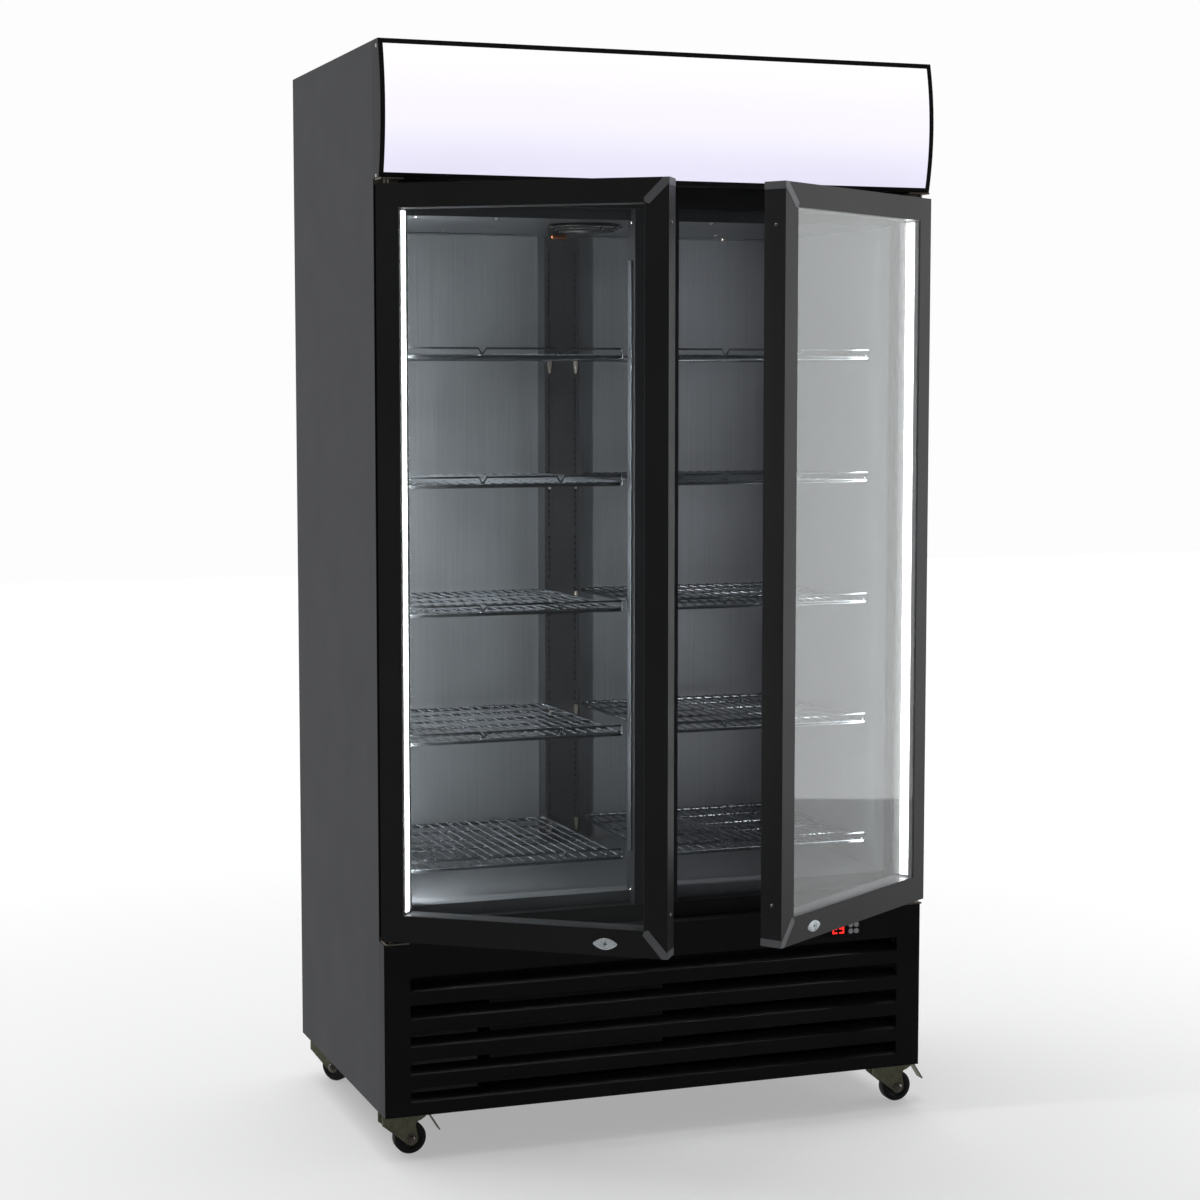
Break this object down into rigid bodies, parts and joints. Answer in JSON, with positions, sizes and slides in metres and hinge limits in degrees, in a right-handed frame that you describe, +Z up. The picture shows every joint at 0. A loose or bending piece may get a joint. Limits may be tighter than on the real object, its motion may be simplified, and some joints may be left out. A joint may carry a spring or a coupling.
{
  "type": "glass door merchandiser",
  "caption": "Upright refrigerated display cabinet with hinged glass doors, lit header, wire shelves, louvred machine compartment and swivel castors.",
  "frame": {"origin": "on the floor under the middle of the bounding box, with the doors standing open as built", "axes": "+Z up, the doors face -Y, +X to the right of someone facing the doors"},
  "size_m": [1.1622, 1.0118, 2.093],
  "materials": {
    "case_paint": "satin powder coat",
    "black_paint": "satin powder coat",
    "button_plastic": "moulded",
    "black_plastic": "moulded",
    "fin_stock": "bright",
    "sign_panel": "translucent",
    "liner_metal": "satin",
    "foam": "matt",
    "shelf_wire": "bright plated",
    "door_profile": "satin black anodised",
    "door_glass": "clear",
    "lamp_lens": "lit",
    "gasket_rubber": "matt",
    "lock_chrome": "polished",
    "hinge_steel": "zinc plated",
    "zinc_plate": "passivated",
    "wheel_tread": "moulded"
  },
  "bodies": {
    "cabinet": {"side_panel_left": "case_paint", "side_panel_right": "case_paint", "top_panel": "case_paint", "back_panel": "case_paint", "base_frame": "black_paint", "front_grille": "black_paint", "controller_housing": "black_plastic", "condenser_unit": "fin_stock", "compressor": "black_paint", "cord_inlet": "black_plastic", "header_housing": "black_paint", "header_sign_panel": "sign_panel", "front_frame": "black_plastic", "inner_liner": "liner_metal", "insulation_foam": "foam", "evaporator_cover": "liner_metal", "centre_mullion": "liner_metal", "pilaster_rear_centre": "liner_metal", "pilaster_side_left": "liner_metal", "pilaster_side_right": "liner_metal", "shelf_left_1": "shelf_wire", "shelf_right_1": "shelf_wire", "shelf_left_2": "shelf_wire", "shelf_right_2": "shelf_wire", "shelf_left_3": "shelf_wire", "shelf_right_3": "shelf_wire", "shelf_left_4": "shelf_wire", "shelf_right_4": "shelf_wire", "shelf_left_5": "shelf_wire", "shelf_right_5": "shelf_wire", "hinge_top_left": "hinge_steel", "hinge_bottom_left": "hinge_steel", "hinge_top_right": "hinge_steel", "hinge_bottom_right": "hinge_steel"},
    "door_left": {"door_left_frame": "door_profile", "door_left_glass": "door_glass", "door_left_gasket": "gasket_rubber", "led_lamp_left": "lamp_lens"},
    "lock_left": {"lock_cylinder_left": "lock_chrome"},
    "door_right": {"door_right_frame": "door_profile", "door_right_glass": "door_glass", "door_right_gasket": "gasket_rubber", "led_lamp_right": "lamp_lens"},
    "lock_right": {"lock_cylinder_right": "lock_chrome"},
    "button_1": {"controller_button_1": "button_plastic"},
    "button_2": {"controller_button_2": "button_plastic"},
    "button_3": {"controller_button_3": "button_plastic"},
    "button_4": {"controller_button_4": "button_plastic"},
    "ceiling_fan": {"evaporator_fan": "black_plastic"},
    "cooling_fan": {"condenser_fan": "black_plastic"},
    "castor_front_left": {"castor_fork_front_left": "zinc_plate"},
    "wheel_front_left": {"castor_wheel_front_left": "wheel_tread"},
    "castor_front_right": {"castor_fork_front_right": "zinc_plate"},
    "wheel_front_right": {"castor_wheel_front_right": "wheel_tread"},
    "castor_rear_left": {"castor_fork_rear_left": "zinc_plate"},
    "wheel_rear_left": {"castor_wheel_rear_left": "wheel_tread"},
    "castor_rear_right": {"castor_fork_rear_right": "zinc_plate"},
    "wheel_rear_right": {"castor_wheel_rear_right": "wheel_tread"},
    "pedal_front_left": {"brake_pedal_front_left": "zinc_plate"},
    "pedal_front_right": {"brake_pedal_front_right": "zinc_plate"}
  },
  "joints": [
    {"name": "door_left_hinge", "type": "hinge", "parent": "cabinet", "child": "door_left", "pos_m": [-0.55919, -0.1751, 0.088], "axis": [0, 0, -1], "range_deg": [-36, 74]},
    {"name": "door_right_hinge", "type": "hinge", "parent": "cabinet", "child": "door_right", "pos_m": [0.52881, -0.1751, 0.088], "axis": [0, 0, 1], "range_deg": [-34.5, 75.5]},
    {"name": "lock_left_turn", "type": "hinge", "parent": "door_left", "child": "lock_left", "pos_m": [-0.22256, -0.42802, 0.452], "axis": [-0.5878, -0.809, 0], "range_deg": [0, 90]},
    {"name": "lock_right_turn", "type": "hinge", "parent": "door_right", "child": "lock_right", "pos_m": [0.18568, -0.41912, 0.452], "axis": [0.5664, -0.8241, 0], "range_deg": [0, 90]},
    {"name": "button_1_press", "type": "slide", "parent": "cabinet", "child": "button_1", "axis": [0, 1, 0], "range_m": [0, 0.001], "stiffness_N_per_m": 400},
    {"name": "button_2_press", "type": "slide", "parent": "cabinet", "child": "button_2", "axis": [0, 1, 0], "range_m": [0, 0.001], "stiffness_N_per_m": 400},
    {"name": "button_3_press", "type": "slide", "parent": "cabinet", "child": "button_3", "axis": [0, 1, 0], "range_m": [0, 0.001], "stiffness_N_per_m": 400},
    {"name": "button_4_press", "type": "slide", "parent": "cabinet", "child": "button_4", "axis": [0, 1, 0], "range_m": [0, 0.001], "stiffness_N_per_m": 400},
    {"name": "ceiling_fan_spin", "type": "hinge", "parent": "cabinet", "child": "ceiling_fan", "pos_m": [-0.09719, 0.0369, 1.7892], "axis": [0, 0, 1], "continuous": true},
    {"name": "cooling_fan_spin", "type": "hinge", "parent": "cabinet", "child": "cooling_fan", "pos_m": [-0.16519, -0.0271, 0.1953], "axis": [0, 1, 0], "continuous": true},
    {"name": "castor_front_left_swivel", "type": "hinge", "parent": "cabinet", "child": "castor_front_left", "pos_m": [-0.53219, -0.1181, 0.088], "axis": [0, 0, 1], "continuous": true},
    {"name": "wheel_front_left_roll", "type": "hinge", "parent": "castor_front_left", "child": "wheel_front_left", "pos_m": [-0.51219, -0.1181, 0.0315], "axis": [0, 1, 0], "continuous": true},
    {"name": "castor_front_right_swivel", "type": "hinge", "parent": "cabinet", "child": "castor_front_right", "pos_m": [0.50181, -0.1181, 0.088], "axis": [0, 0, 1], "continuous": true},
    {"name": "wheel_front_right_roll", "type": "hinge", "parent": "castor_front_right", "child": "wheel_front_right", "pos_m": [0.52181, -0.1181, 0.0315], "axis": [0, 1, 0], "continuous": true},
    {"name": "castor_rear_left_swivel", "type": "hinge", "parent": "cabinet", "child": "castor_rear_left", "pos_m": [-0.53219, 0.4339, 0.088], "axis": [0, 0, 1], "continuous": true},
    {"name": "wheel_rear_left_roll", "type": "hinge", "parent": "castor_rear_left", "child": "wheel_rear_left", "pos_m": [-0.51988, 0.41814, 0.0315], "axis": [0.788, 0.6157, 0], "continuous": true},
    {"name": "castor_rear_right_swivel", "type": "hinge", "parent": "cabinet", "child": "castor_rear_right", "pos_m": [0.50181, 0.4339, 0.088], "axis": [0, 0, 1], "continuous": true},
    {"name": "wheel_rear_right_roll", "type": "hinge", "parent": "castor_rear_right", "child": "wheel_rear_right", "pos_m": [0.51412, 0.41814, 0.0315], "axis": [0.788, 0.6157, 0], "continuous": true},
    {"name": "pedal_front_left_press", "type": "hinge", "parent": "castor_front_left", "child": "pedal_front_left", "pos_m": [-0.47919, -0.1181, 0.078], "axis": [0, -1, 0], "range_deg": [0, 25]},
    {"name": "pedal_front_right_press", "type": "hinge", "parent": "castor_front_right", "child": "pedal_front_right", "pos_m": [0.55481, -0.1181, 0.078], "axis": [0, -1, 0], "range_deg": [0, 25]}
  ]
}
